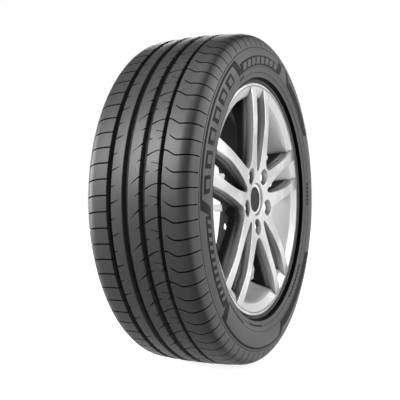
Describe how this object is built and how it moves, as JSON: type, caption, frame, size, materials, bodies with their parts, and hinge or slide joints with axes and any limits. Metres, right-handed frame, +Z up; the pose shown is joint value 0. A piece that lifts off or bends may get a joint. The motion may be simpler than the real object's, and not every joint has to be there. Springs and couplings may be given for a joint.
{
  "type": "car tyre on alloy wheel",
  "caption": "Road tyre with grooved tread, fitted on a cast wheel with paired spokes, centre cap, valve and wheel bolts.",
  "frame": {"origin": "centre of the wheel, on its axle and midway between the rim's flanges", "axes": "+Y along the axle towards the car, so the outboard face looks to -Y; +Z up as the wheel stands on its tread; +X to the right of a viewer who faces the outboard side"},
  "size_m": [0.6793, 0.2292, 0.6782],
  "materials": {
    "rubber_tyre": "matt black rubber with a satin sidewall",
    "machined_alloy": "bright silver lacquer",
    "cap_silver": "silver paint",
    "badge_dark": "plain, glossy dark grey",
    "spring_steel": "zinc plated",
    "valve_rubber": "matt black",
    "valve_brass": "plain brass",
    "valve_plastic": "matt black",
    "bolt_steel": "bright zinc plating",
    "weight_zinc": "grey coated"
  },
  "bodies": {
    "root": {"tyre": "rubber_tyre", "alloy_wheel": "machined_alloy", "centre_cap": "cap_silver", "cap_badge": "badge_dark", "cap_spring_ring": "spring_steel", "valve_stem": "valve_rubber", "valve_tube": "valve_brass", "valve_core": "valve_brass", "valve_cap": "valve_plastic", "balance_strip_middle": "weight_zinc", "balance_strip_inboard": "weight_zinc", "wheel_bolt_1": "bolt_steel", "wheel_bolt_2": "bolt_steel", "wheel_bolt_3": "bolt_steel", "wheel_bolt_4": "bolt_steel", "wheel_bolt_5": "bolt_steel"}
  },
  "joints": []
}
